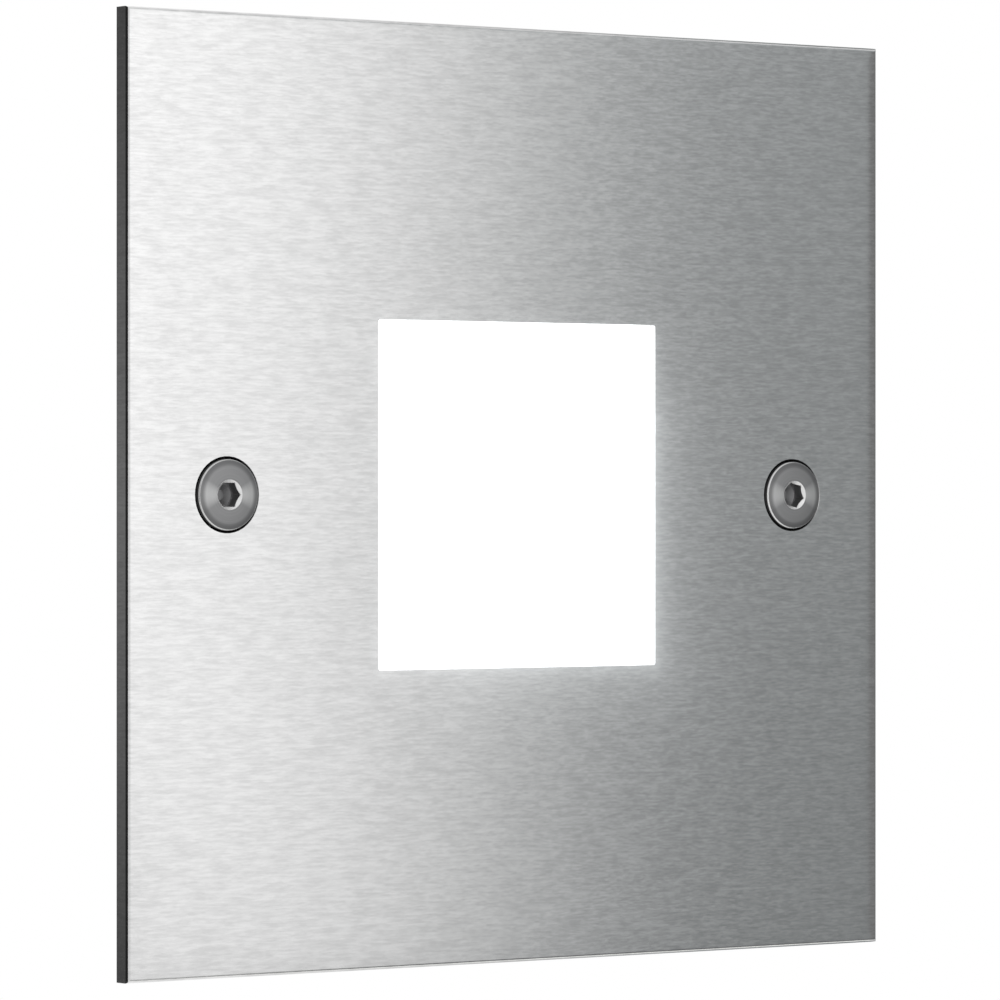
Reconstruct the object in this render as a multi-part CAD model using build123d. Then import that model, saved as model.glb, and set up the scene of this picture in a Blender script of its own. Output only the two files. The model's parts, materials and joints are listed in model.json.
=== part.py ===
from build123d import *
import os

# Recessed wall light: a brushed steel cover with an opal window on a die-cast pot.
# Millimetres, X to the right, Y into the wall, Z up.
# The origin is the centre of the flange's rear face, which seats on the wall.

# Front plate and its window
PLATE_SIZE = 100.0
PLATE_THICK = 2.0
PLATE_EDGE_ROUND = 0.4
WINDOW_SIZE = 37.0
WINDOW_CORNER = 0.3

# Cover screws, M4 with countersunk hexagon socket heads
SCREW_EDGE = 12.3  # axis to the plate's edge
SCREW_D = 4.0
SCREW_HEAD_D = 7.6
SCREW_HEAD_PROUD = 0.35
SCREW_HEAD_ROUND = 0.3
SCREW_CROWN = 0.15
SCREW_WAIST_D = 3.2
SCREW_ENGAGE = 3.2  # length of thread inside the insert
SCREW_FREE = 0.3  # travel past the last thread
SCREW_TIP = 0.4
SCREW_HOLE_PLAY = 0.3
HEAD_PLAY = 0.2  # radial gap between head and countersink
SOCKET_AF = 2.5
SOCKET_DEPTH = 1.5
SOCKET_LIP = 0.12  # lead-in chamfer outside the socket's corners
LEFT_SOCKET_TURN = 0.0
RIGHT_SOCKET_TURN = -14.0

# Captive rings behind the plate, and the threaded inserts
RETAINER_D = 7.0
RETAINER_THICK = 1.0
RETAINER_PLAY = 0.15
RETAINER_ROOM = 0.3  # radial gap to the bore that it slides in
INSERT_D = 6.0
INSERT_LENGTH = 4.7
THREAD_PLAY = 0.05  # radial gap that stands for mating threads

# Lens, its seal and its clamp frame
LENS_GAP = 0.1
LENS_LAP = 3.0
LENS_GASKET_THICK = 1.0
LENS_FLANGE_THICK = 2.5
LENS_WALL = 2.5
LENS_CORNER = 1.0
FRAME_THICK = 1.5
FRAME_MARGIN = 0.5
FRAME_LIP = 3.1  # stud axis to the frame's edge
FRAME_CORNER = 2.0
STUD_D = 3.0
STUD_GAP = 0.4
STUD_FOOT_D = 4.0
STUD_FOOT_THICK = 0.5
STUD_OVERRUN = 0.6
STUD_HOLE_PLAY = 0.2
WASHER_D = 6.0
WASHER_THICK = 0.6
NUT_AF = 5.5
NUT_THICK = 2.4
NUT_TURN = 15.0

# Housing flange and its seal
FLANGE_INSET = 4.0  # plate edge to flange edge
FLANGE_THICK = 3.0
FLANGE_CORNER = 4.0
FLANGE_EDGE_ROUND = 0.6
GASKET_THICK = 1.0
GASKET_MARGIN = 1.5
GASKET_HOLE_PLAY = 0.4
WALL_HOLE_D = 4.5
WALL_HOLE_INSET = 8.0  # flange edge to hole axis
WALL_HEAD_D = 9.0

# Housing pot
POT_DEPTH = 24.0  # wall plane to inner floor
POT_WALL = 2.5
POT_FLOOR = 3.5
POT_DRAFT = 1.0  # each side, mouth to floor
POT_CORNER = 6.0
POT_FLOOR_ROUND = 1.5
ROOT_ROUND = 1.0  # where the pot and the bosses leave the flange
FRAME_CLEAR = 0.7
BOSS_WALL = 1.75
BOSS_FLOOR = 1.0
BOSS_WEB = 3.0
BOSS_END_ROUND = 0.6
RIB_COUNT = 7
RIB_THICK = 1.6
RIB_HEIGHT = 3.5
RIB_TIP_ROUND = 0.6
RIB_MARGIN = 4.0  # rib ends and outer ribs to the floor's edge

# Light engine
PAD_THICK = 0.5
PAD_INSET = 1.0
PAD_PLAY = 0.4  # gap to the floor's bosses
BOARD_THICK = 1.6
BOARD_CORNER = 1.5
BOARD_GAP = 0.4
LED_ROWS = 3
LED_PITCH = 7.5
LED_LENGTH = 3.5
LED_WIDTH = 2.8
LED_HEIGHT = 0.8
LED_DISH_D = 2.2
LED_DISH_DEPTH = 0.3
LED_MARGIN = 1.5
BOARD_SCREW_D = 2.5
BOARD_SCREW_HEAD_D = 4.5
BOARD_SCREW_HEAD = 1.6
BOARD_SCREW_COVER = 1.1  # metal left behind the screw's end
BOARD_SCREW_ROUND = 0.5
BOARD_SLOT_W = 0.8
BOARD_SLOT_DEPTH = 0.8
BOARD_HOLE_PLAY = 0.15
FLOOR_BOSS_D = 5.5
TAP_PLAY = 0.02
TAP_EXTRA = 0.4

# Reflector, the white light box
REFLECTOR_WALL = 1.3
REFLECTOR_FLOOR = 1.5
REFLECTOR_DRAFT = 2.3
REFLECTOR_GAP = 0.6
REFLECTOR_CORNER = 3.0

# Parts on the lower strip of the board
CHIP_LEAD_W = 0.7
CHIP_LEAD_THICK = 0.3
CHIP_LEAD_OUT = 0.7
CHIP_BEVEL = 0.25
REGULATOR_GAP = 1.5  # to the capacitor
REGULATOR_SIZE = 4.4
REGULATOR_THICK = 1.6
RECTIFIER_EDGE = 9.0  # axis to the board's right end
RECTIFIER_SIZE = 4.7
RECTIFIER_THICK = 2.4
CAPACITOR_EDGE = 3.6  # axis to the board's left end
CAPACITOR_D = 5.0
CAPACITOR_HEIGHT = 5.4
CAPACITOR_BASE = 0.9
CAPACITOR_ROUND = 0.4

# Supply terminal
TERMINAL_X = 0.0
TERMINAL_PITCH = 2.54
TERMINAL_DEPTH = 6.2
TERMINAL_HEIGHT = 6.5
TERMINAL_END = 0.3
TERMINAL_BEVEL = 0.8
TERMINAL_FLOOR = 1.0
CAGE_WIDTH = 1.8
CAGE_HEIGHT = 2.5
CAGE_LENGTH = 4.2
CAGE_WALL = 0.35
CAGE_PLAY = 0.05
CAGE_INSET = 0.4  # cage end to the block's entry face
TERMINAL_SCREW_D = 1.0
TERMINAL_SCREW_HEAD_D = 1.8
TERMINAL_SCREW_HEAD = 1.2
TERMINAL_SCREW_BITE = 0.6
TERMINAL_SLOT_W = 0.35
TERMINAL_SLOT_DEPTH = 0.4

# Cable gland, M12, in the lower wall of the pot
GLAND_X = 11.0
GLAND_Y = 12.0
GLAND_BOSS_D = 18.0
GLAND_BOSS = 1.8
GLAND_THREAD_D = 12.0
GLAND_BORE_D = 8.0
GLAND_HEX_AF = 16.0
GLAND_HEX = 5.0
GLAND_HEX_BEVEL = 0.7  # height of the turned corners
GLAND_COLLAR_D = 12.6
GLAND_COLLAR = 6.5
GLAND_COLLAR_WALL = 1.4
GLAND_PLAY = 0.05
O_RING_SECTION = 1.4
O_RING_GROOVE = 1.5
SEAL_BORE_D = 6.2
SEAL_SINK = 5.0  # length of the seal inside the collar
SEAL_LENGTH = 8.2
SEAL_TAPER = 0.9
CAP_D = 15.6
CAP_AF = 14.6
CAP_LENGTH = 11.4
CAP_GAP = 0.5
CAP_HOLE_PLAY = 0.4
CAP_SEAL_PLAY = 0.1
CAP_DOME = 2.4

# Planes along Y: the flange, its seal and the plate, in front of the wall plane
flange_front = -FLANGE_THICK
plate_back = flange_front - GASKET_THICK
plate_front = plate_back - PLATE_THICK

# Planes along Y: the lens and its clamp, from the plate backwards
lens_seat = plate_back + LENS_GASKET_THICK
lens_back = lens_seat + LENS_FLANGE_THICK
frame_back = lens_back + FRAME_THICK
washer_back = frame_back + WASHER_THICK
nut_back = washer_back + NUT_THICK

# Planes along Y: the light engine, from the pot's floor forwards
pot_end = POT_DEPTH + POT_FLOOR
board_back = POT_DEPTH - PAD_THICK
board_front = board_back - BOARD_THICK
reflector_floor = board_front - REFLECTOR_FLOOR
reflector_front = frame_back + REFLECTOR_GAP
board_screw_end = pot_end - BOARD_SCREW_COVER
cage_back = board_front - TERMINAL_FLOOR
cage_front = cage_back - CAGE_HEIGHT

# Planes along Y: the bore that each captive ring slides in
screw_travel = SCREW_ENGAGE + SCREW_FREE
bore_floor = plate_back + screw_travel + RETAINER_THICK + 2 * RETAINER_PLAY
boss_end = bore_floor + INSERT_LENGTH + BOSS_FLOOR

# Widths, seen from the front
screw_x = PLATE_SIZE / 2 - SCREW_EDGE
retainer_bore_d = RETAINER_D + 2 * RETAINER_ROOM
lens_flange = WINDOW_SIZE + 2 * LENS_LAP
frame_opening = WINDOW_SIZE + 2 * FRAME_MARGIN
stud_offset = lens_flange / 2 + STUD_GAP + STUD_D / 2
frame_size = 2 * (stud_offset + FRAME_LIP)
pot_mouth = frame_size + 2 * FRAME_CLEAR
pot_outside = pot_mouth + 2 * POT_WALL
flange_size = PLATE_SIZE - 2 * FLANGE_INSET
wall_hole_offset = flange_size / 2 - WALL_HOLE_INSET
led_window = 2 * ((LED_ROWS - 1) / 2 * LED_PITCH + LED_LENGTH / 2 + LED_MARGIN)
reflector_mouth = frame_opening + 2 * REFLECTOR_WALL
reflector_base = reflector_mouth - 2 * REFLECTOR_DRAFT
reflector_base_inside = reflector_base - 2 * REFLECTOR_WALL
board_screw_offset = (led_window + reflector_base_inside) / 4

# Heights on the board's lower strip, below the reflector
pot_floor_inside = pot_mouth - 2 * POT_DRAFT
board_bottom = BOARD_GAP - pot_floor_inside / 2
board_top = reflector_base / 2
terminal_length = 2 * TERMINAL_PITCH + 2 * TERMINAL_END
strip_z = board_bottom + TERMINAL_END + terminal_length / 2

# Places along the board's lower strip, from its two ends
capacitor_x = CAPACITOR_EDGE - reflector_base / 2
regulator_x = capacitor_x + CAPACITOR_D / 2 + REGULATOR_GAP + REGULATOR_SIZE / 2
rectifier_x = reflector_base / 2 - RECTIFIER_EDGE

# Heights along the gland, downwards from its boss
gland_face = -pot_outside / 2 - GLAND_BOSS
gland_collar_top = gland_face - GLAND_HEX
gland_collar_end = gland_collar_top - GLAND_COLLAR
seal_top = gland_collar_end + SEAL_SINK
seal_end = seal_top - SEAL_LENGTH
cap_top = gland_collar_top - CAP_GAP
cap_end = cap_top - CAP_LENGTH
seal_radius = GLAND_COLLAR_D / 2 - GLAND_COLLAR_WALL - GLAND_PLAY


# Shared shapes


def slab(sketch, y_front, y_back):
    """A sketch drawn as seen from the front, carried from y_front to y_back."""
    return extrude(Plane.XZ.offset(-y_back) * sketch, amount=y_back - y_front)


def square(size, corner):
    """A square with rounded corners."""
    return RectangleRounded(size, size, corner)


def drafted(front_size, back_size, corner, y_front, y_back):
    """A rounded square block that narrows from y_front to y_back."""
    front = Plane.XZ.offset(-y_front) * square(front_size, corner)
    back = Plane.XZ.offset(-y_back) * square(back_size, corner)
    return loft([front, back])


def turned(outline):
    """An outline of (radius, y), turned about the Y axis."""
    return revolve(make_face(outline), Axis.Y)


def rod(diameter, y_front, y_back):
    """A round bar on the Y axis."""
    return slab(Circle(diameter / 2), y_front, y_back)


def cone(front_d, back_d, y_front, y_back):
    """A cone on the Y axis between two diameters."""
    points = [(0, y_front), (front_d / 2, y_front), (back_d / 2, y_back), (0, y_back)]
    return turned(Polyline(*points, close=True))


def turned_down(points):
    """An outline of (radius, z), turned about the gland's axis along Z."""
    face = make_face(Plane.XZ * Polyline(*points, close=True))
    return Pos(GLAND_X, GLAND_Y, 0) * revolve(face, Axis.Z)


def hex_down(across_flats, z_top, z_bottom):
    """A hexagon bar along the gland's axis."""
    sketch = Plane.XY.offset(z_bottom) * RegularPolygon(across_flats / 2, 6, major_radius=False)
    return Pos(GLAND_X, GLAND_Y, 0) * extrude(sketch, amount=z_top - z_bottom)


def corners(offset):
    """The four points (x, z) of a square pattern."""
    return [(x, z) for x in (-offset, offset) for z in (-offset, offset)]


def sides(offset):
    """The two points (x, z) left and right of the centre."""
    return [(-offset, 0.0), (offset, 0.0)]


def punched(sketch, points, diameter):
    """A sketch with a round hole at each point."""
    return sketch - [Pos(x, z) * Circle(diameter / 2) for x, z in points]


def copies(solid, points):
    """Separate copies of a solid, one at each point (x, z)."""
    return Compound([Pos(x, 0, z) * solid for x, z in points])


# Cover


def front_plate():
    """Steel plate with its window and two countersunk screw holes."""
    hole_d = SCREW_D + SCREW_HOLE_PLAY
    sink_d = SCREW_HEAD_D + 2 * HEAD_PLAY
    sketch = Rectangle(PLATE_SIZE, PLATE_SIZE) - square(WINDOW_SIZE, WINDOW_CORNER)
    plate = slab(punched(sketch, sides(screw_x), hole_d), plate_front, plate_back)
    rim = plate.faces().sort_by(Axis.Y)[0].outer_wire().edges()
    plate = fillet(rim, PLATE_EDGE_ROUND)
    sink = cone(sink_d, hole_d, plate_front, plate_front + (sink_d - hole_d) / 2)
    return plate - [Pos(x, 0, z) * sink for x, z in sides(screw_x)]


def window_lens():
    """Opal lens: a block flush in the window, a flange behind it, hollow at the back."""
    block = slab(square(WINDOW_SIZE - 2 * LENS_GAP, WINDOW_CORNER), plate_front, lens_seat)
    flange = slab(square(lens_flange, LENS_CORNER), lens_seat, lens_back)
    hollow_size = WINDOW_SIZE - 2 * LENS_GAP - 2 * LENS_WALL
    hollow = slab(square(hollow_size, LENS_CORNER), plate_front + LENS_WALL, lens_back)
    return block + flange - hollow


def lens_gasket():
    """Flat seal between the plate and the lens flange."""
    ring = square(lens_flange, LENS_CORNER) - square(frame_opening, LENS_CORNER)
    return slab(ring, plate_back, lens_seat)


def lens_frame():
    """Clamp frame that presses the lens to the plate."""
    ring = square(frame_size, FRAME_CORNER) - square(frame_opening, LENS_CORNER)
    ring = punched(ring, corners(stud_offset), STUD_D + 2 * STUD_HOLE_PLAY)
    return slab(ring, lens_back, frame_back)


def lens_studs():
    """Weld studs on the back of the plate, each with its weld foot."""
    foot = rod(STUD_FOOT_D, plate_back, plate_back + STUD_FOOT_THICK)
    stud = rod(STUD_D, plate_back, nut_back + STUD_OVERRUN)
    return copies(foot + stud, corners(stud_offset))


def lens_washers():
    """Washers between the clamp frame and its nuts."""
    ring = Circle(WASHER_D / 2) - Circle(STUD_D / 2 + STUD_HOLE_PLAY)
    return copies(slab(ring, frame_back, washer_back), corners(stud_offset))


def lens_nuts():
    """Hexagon nuts with turned corners."""
    hexagon = RegularPolygon(NUT_AF / 2, 6, major_radius=False, rotation=NUT_TURN)
    nut = slab(hexagon - Circle(STUD_D / 2 + THREAD_PLAY), washer_back, nut_back)
    corner_d = NUT_AF + 2 * NUT_THICK
    nut = nut & cone(corner_d, NUT_AF, washer_back, nut_back)
    return copies(nut, corners(stud_offset))


# Captive cover screws


def cover_screw(x, socket_turn):
    """Screw with a crowned countersunk head, a thin waist and a short thread."""
    rim = SCREW_HEAD_D / 2
    waist = SCREW_WAIST_D / 2
    thread = SCREW_D / 2
    edge_y = plate_front - SCREW_HEAD_PROUD
    crown_y = edge_y - SCREW_CROWN
    tip = bore_floor + SCREW_ENGAGE
    hexagon = RegularPolygon(SOCKET_AF / 2, 6, major_radius=False, rotation=socket_turn)
    lip = hexagon.radius + SOCKET_LIP
    drill = hexagon.apothem - SOCKET_LIP
    dimple_y = crown_y + lip - drill
    crown = TangentArc((lip, crown_y), (rim - SCREW_HEAD_ROUND, edge_y), tangent=(1, 0))
    side = Polyline(
        crown @ 1,
        (rim, edge_y + SCREW_HEAD_ROUND),
        (rim, plate_front),
        (waist, plate_front + rim - waist),
        (waist, bore_floor),
        (thread, bore_floor),
        (thread, tip - SCREW_TIP),
        (thread - SCREW_TIP, tip),
        (0, tip),
        (0, dimple_y),
        (drill, dimple_y),
        crown @ 0,
    )
    floor = crown_y + SOCKET_DEPTH
    point = cone(2 * drill, drill, floor, floor + drill / 2)
    screw = turned(crown + side) - (slab(hexagon, crown_y, floor) + point)
    return Pos(x, 0, 0) * screw


def screw_retainer(x):
    """Ring on the screw's waist that can't pass the hole in the plate."""
    back = bore_floor - RETAINER_PLAY
    ring = Circle(RETAINER_D / 2) - Circle(SCREW_WAIST_D / 2 + THREAD_PLAY)
    return Pos(x, 0, 0) * slab(ring, back - RETAINER_THICK, back)


# Housing


def pot_blank():
    """Outside of the pot: drafted walls and a rounded floor edge."""
    end_size = pot_outside - 2 * POT_DRAFT
    pot = drafted(pot_outside, end_size, POT_CORNER, 0, pot_end)
    return fillet(pot.faces().sort_by(Axis.Y)[-1].edges(), POT_FLOOR_ROUND)


def screw_bosses():
    """Bosses for the cover screws, each with a flared foot and tied to the pot by a web."""
    radius = INSERT_D / 2 + BOSS_WALL
    foot = TangentArc((radius + ROOT_ROUND, 0), (radius, ROOT_ROUND), tangent=(-1, 0))
    side = Polyline(foot @ 1, (radius, boss_end), (0, boss_end), (0, 0), foot @ 0)
    boss = turned(foot + side)
    boss = fillet(boss.faces().sort_by(Axis.Y)[-1].edges(), BOSS_END_ROUND)
    web_length = screw_x - pot_mouth / 2
    web = slab(Rectangle(web_length, BOSS_WEB), 0, boss_end - BOSS_FLOOR)
    right = Pos(screw_x, 0, 0) * boss + Pos(screw_x - web_length / 2, 0, 0) * web
    return right + mirror(right, about=Plane.YZ)


def cooling_ribs():
    """Upright ribs across the pot's rear face, with rounded tips."""
    length = pot_outside - 2 * POT_DRAFT - 2 * RIB_MARGIN
    step = (length - RIB_THICK) / (RIB_COUNT - 1)
    rib = slab(Rectangle(RIB_THICK, length), pot_end, pot_end + RIB_HEIGHT)
    rib = fillet(rib.faces().sort_by(Axis.Y)[-1].edges(), RIB_TIP_ROUND)
    return [Pos((i - (RIB_COUNT - 1) / 2) * step, 0, 0) * rib for i in range(RIB_COUNT)]


def gland_boss():
    """Round pad on the pot's lower wall, where the gland screws in."""
    top = -pot_mouth / 2
    radius = GLAND_BOSS_D / 2
    return turned_down([(0, top), (radius, top), (radius, gland_face), (0, gland_face)])


def gland_hole():
    """Hole for the gland's thread, right through the lower wall."""
    radius = GLAND_THREAD_D / 2 + GLAND_PLAY
    top = POT_WALL - pot_floor_inside / 2
    return turned_down([(0, top), (radius, top), (radius, gland_face), (0, gland_face)])


def cover_screw_bore():
    """Bore for a captive ring, with the seat of its insert behind it."""
    insert_end = bore_floor + INSERT_LENGTH
    ring_bore = rod(retainer_bore_d, flange_front, bore_floor)
    return ring_bore + rod(INSERT_D + 2 * TAP_PLAY, bore_floor, insert_end)


def casting():
    """Outside of the housing: rounded flange, pot with a rounded root, and bosses."""
    flange = punched(square(flange_size, FLANGE_CORNER), corners(wall_hole_offset), WALL_HOLE_D)
    flange = slab(flange, flange_front, 0)
    rims = [face.outer_wire().edges() for face in flange.faces().filter_by(Axis.Y)]
    flange = fillet([edge for rim in rims for edge in rim], FLANGE_EDGE_ROUND)
    body = flange + pot_blank()
    wall_seat = body.faces().filter_by(Axis.Y).sort_by(Axis.Y)[1]
    root = wall_seat.inner_wires().sort_by(SortBy.LENGTH)[-1]
    return fillet(root.edges(), ROOT_ROUND) + screw_bosses()


def housing():
    """Die-cast pot with its flange, bosses, ribs and holes."""
    cavity_corner = POT_CORNER - POT_WALL
    cavity = drafted(pot_mouth, pot_floor_inside, cavity_corner, flange_front, POT_DEPTH)
    body = casting() + gland_boss() + cooling_ribs() - cavity - gland_hole()
    floor_boss = rod(FLOOR_BOSS_D, board_back, POT_DEPTH)
    body += [Pos(x, 0, z) * floor_boss for x, z in corners(board_screw_offset)]
    sink_end = flange_front + (WALL_HEAD_D - WALL_HOLE_D) / 2
    sink = cone(WALL_HEAD_D, WALL_HOLE_D, flange_front, sink_end)
    tap = rod(BOARD_SCREW_D + 2 * TAP_PLAY, board_back, board_screw_end + TAP_EXTRA)
    body -= [Pos(x, 0, z) * sink for x, z in corners(wall_hole_offset)]
    body -= [Pos(x, 0, z) * tap for x, z in corners(board_screw_offset)]
    return body - [Pos(x, 0, z) * cover_screw_bore() for x, z in sides(screw_x)]


def flange_gasket():
    """Flat seal between the flange and the plate."""
    ring = square(flange_size, FLANGE_CORNER)
    ring -= square(pot_mouth + 2 * GASKET_MARGIN, POT_CORNER)
    ring = punched(ring, sides(screw_x), retainer_bore_d + 2 * GASKET_HOLE_PLAY)
    ring = punched(ring, corners(wall_hole_offset), WALL_HEAD_D + 2 * GASKET_HOLE_PLAY)
    return slab(ring, plate_back, flange_front)


def screw_inserts():
    """Brass threaded inserts at the foot of the captive rings' bores."""
    ring = Circle(INSERT_D / 2) - Circle(SCREW_D / 2 + THREAD_PLAY)
    return copies(slab(ring, bore_floor, bore_floor + INSERT_LENGTH), sides(screw_x))


# Light engine


def thermal_pad():
    """Soft pad, cut as a cross between the bosses, that takes the board's heat to the pot."""
    length = reflector_base - 2 * PAD_INSET
    width = 2 * (board_screw_offset - FLOOR_BOSS_D / 2 - PAD_PLAY)
    cross = Rectangle(length, width) + Rectangle(width, length)
    return slab(cross, board_back, POT_DEPTH)


def led_board():
    """Circuit board: the lamps behind the window, the supply on the strip below."""
    height = board_top - board_bottom
    board = RectangleRounded(reflector_base, height, BOARD_CORNER)
    board = Pos(0, (board_top + board_bottom) / 2) * board
    board = punched(board, corners(board_screw_offset), BOARD_SCREW_D + 2 * BOARD_HOLE_PLAY)
    return slab(board, board_front, board_back)


def led_chips():
    """Square field of surface-mounted lamps, each with a dished front."""
    front = board_front - LED_HEIGHT
    chip_body = slab(Rectangle(LED_LENGTH, LED_WIDTH), front, board_front)
    dish_floor_d = LED_DISH_D - 2 * LED_DISH_DEPTH
    chip_body -= cone(LED_DISH_D, dish_floor_d, front, front + LED_DISH_DEPTH)
    row = [(i - (LED_ROWS - 1) / 2) * LED_PITCH for i in range(LED_ROWS)]
    return copies(chip_body, [(x, z) for x in row for z in row])


def reflector_width(y):
    """Outside width of the tapering light box at depth y."""
    share = (y - reflector_front) / (board_front - reflector_front)
    return reflector_mouth - 2 * REFLECTOR_DRAFT * share


def reflector():
    """Tapering light box, open to the window, with its floor on the board."""
    outside = drafted(
        reflector_mouth, reflector_base, REFLECTOR_CORNER, reflector_front, board_front
    )
    inside_end = reflector_width(reflector_floor) - 2 * REFLECTOR_WALL
    inside_corner = REFLECTOR_CORNER - REFLECTOR_WALL
    inside = drafted(frame_opening, inside_end, inside_corner, reflector_front, reflector_floor)
    floor_cut = square(led_window, LENS_CORNER)
    hole = Circle(BOARD_SCREW_D / 2 + BOARD_HOLE_PLAY)
    floor_cut += [Pos(x, z) * hole for x, z in corners(board_screw_offset)]
    return outside - inside - slab(floor_cut, reflector_floor, board_front)


def board_screws():
    """Slotted pan head screws through the light box and the board."""
    head = BOARD_SCREW_HEAD_D / 2
    shank = BOARD_SCREW_D / 2
    top = reflector_floor - BOARD_SCREW_HEAD
    outline = Polyline(
        (0, top),
        (head - BOARD_SCREW_ROUND, top),
        (head, top + BOARD_SCREW_ROUND),
        (head, reflector_floor),
        (shank, reflector_floor),
        (shank, board_screw_end),
        (0, board_screw_end),
        close=True,
    )
    slot = slab(Rectangle(BOARD_SCREW_HEAD_D, BOARD_SLOT_W), top, top + BOARD_SLOT_DEPTH)
    return copies(turned(outline) - slot, corners(board_screw_offset))


# Supply strip of the board


def chip(x, size, thick, leads_above, leads_below):
    """Square chip with flat leads above and below its body."""
    body = slab(Rectangle(size, size), board_front - thick, board_front)
    body = chamfer(body.faces().sort_by(Axis.Y)[0].edges(), CHIP_BEVEL)
    reach = size / 2 + CHIP_LEAD_OUT
    lead = slab(Rectangle(CHIP_LEAD_W, reach), board_front - CHIP_LEAD_THICK, board_front)
    for count, side in ((leads_above, 1), (leads_below, -1)):
        step = size / count
        for i in range(count):
            body += Pos((i - (count - 1) / 2) * step, 0, side * reach / 2) * lead
    return Pos(x, 0, strip_z) * body


def smoothing_capacitor():
    """Round can with a rolled top on a square foot."""
    foot_front = board_front - CAPACITOR_BASE
    top = board_front - CAPACITOR_HEIGHT
    foot = slab(Rectangle(CAPACITOR_D, CAPACITOR_D), foot_front, board_front)
    can = rod(CAPACITOR_D, top, foot_front)
    can = fillet(can.faces().sort_by(Axis.Y)[0].edges(), CAPACITOR_ROUND)
    return Pos(capacitor_x, 0, strip_z) * (foot + can)


def pole_points():
    """Where the two poles of the terminal are, as (x, z)."""
    cage_x = TERMINAL_X + (TERMINAL_DEPTH - CAGE_LENGTH) / 2 - CAGE_INSET
    return [(cage_x, strip_z + side * TERMINAL_PITCH / 2) for side in (-1, 1)]


def terminal_block():
    """Moulded block with two wire entries at its right and two screw holes in front."""
    front = board_front - TERMINAL_HEIGHT
    block = slab(Rectangle(TERMINAL_DEPTH, terminal_length), front, board_front)
    rim = block.faces().sort_by(Axis.Y)[0].edges().filter_by(Axis.Z)
    block = Pos(TERMINAL_X, 0, strip_z) * chamfer(rim, TERMINAL_BEVEL)
    room = CAGE_LENGTH + CAGE_PLAY + 2 * CAGE_INSET
    entry = Rectangle(room, CAGE_WIDTH + 2 * CAGE_PLAY)
    entry = Pos((room - CAGE_LENGTH) / 2 - CAGE_PLAY, 0) * entry
    cut = slab(entry, cage_front - CAGE_PLAY, cage_back + CAGE_PLAY)
    cut += rod(TERMINAL_SCREW_HEAD_D + 2 * CAGE_PLAY, front, cage_front)
    return block - [Pos(x, 0, z) * cut for x, z in pole_points()]


def terminal_cages():
    """Brass clamp cages, open along X, each with a hole for its screw."""
    cage = slab(Rectangle(CAGE_LENGTH, CAGE_WIDTH), cage_front, cage_back)
    inside = Rectangle(CAGE_LENGTH, CAGE_WIDTH - 2 * CAGE_WALL)
    cage -= slab(inside, cage_front + CAGE_WALL, cage_back - CAGE_WALL)
    hole = rod(TERMINAL_SCREW_D + 2 * THREAD_PLAY, cage_front, cage_front + CAGE_WALL)
    return copies(cage - hole, pole_points())


def terminal_screws():
    """Slotted screws that close the cages."""
    top = cage_front - TERMINAL_SCREW_HEAD
    screw = rod(TERMINAL_SCREW_HEAD_D, top, cage_front)
    screw += rod(TERMINAL_SCREW_D, cage_front, cage_front + CAGE_WALL + TERMINAL_SCREW_BITE)
    slot = Rectangle(TERMINAL_SCREW_HEAD_D, TERMINAL_SLOT_W)
    screw -= slab(slot, top, top + TERMINAL_SLOT_DEPTH)
    return copies(screw, pole_points())


# Cable gland


def bevelled_round():
    """Round that turns down the corners of the gland's hexagon at both ends."""
    flat = GLAND_HEX_AF / 2
    corner = RegularPolygon(flat, 6, major_radius=False).radius
    return turned_down(
        [
            (0, gland_face),
            (flat, gland_face),
            (corner, gland_face - GLAND_HEX_BEVEL),
            (corner, gland_collar_top + GLAND_HEX_BEVEL),
            (flat, gland_collar_top),
            (0, gland_collar_top),
        ]
    )


def gland_body():
    """Threaded stem, hexagon and collar around one bore."""
    bore = GLAND_BORE_D / 2
    thread = GLAND_THREAD_D / 2
    collar = GLAND_COLLAR_D / 2
    seat = collar - GLAND_COLLAR_WALL
    stem_top = -pot_mouth / 2
    stem = turned_down(
        [
            (bore, stem_top),
            (thread, stem_top),
            (thread, gland_collar_top),
            (collar, gland_collar_top),
            (collar, gland_collar_end),
            (seat, gland_collar_end),
            (seat, seal_top),
            (bore, seal_top),
        ]
    )
    groove = thread + O_RING_SECTION + 2 * GLAND_PLAY
    groove_floor = gland_face - O_RING_GROOVE
    cut = turned_down(
        [
            (0, gland_face),
            (groove, gland_face),
            (groove, groove_floor),
            (thread, groove_floor),
            (thread, gland_collar_top),
            (0, gland_collar_top),
        ]
    )
    hexagon = hex_down(GLAND_HEX_AF, gland_face, gland_collar_top) & bevelled_round()
    return stem + (hexagon - cut)


def gland_o_ring():
    """Ring seal in the groove under the gland's hexagon."""
    centre_r = GLAND_THREAD_D / 2 + GLAND_PLAY + O_RING_SECTION / 2
    ring = Torus(centre_r, O_RING_SECTION / 2)
    return Pos(GLAND_X, GLAND_Y, gland_face - O_RING_GROOVE / 2) * ring


def gland_seal():
    """Rubber sleeve that grips the cable, tapered where the cap presses it."""
    bore = SEAL_BORE_D / 2
    return turned_down(
        [
            (bore, seal_top),
            (seal_radius, seal_top),
            (seal_radius, seal_end + SEAL_TAPER),
            (seal_radius - SEAL_TAPER, seal_end),
            (bore, seal_end),
        ]
    )


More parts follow.
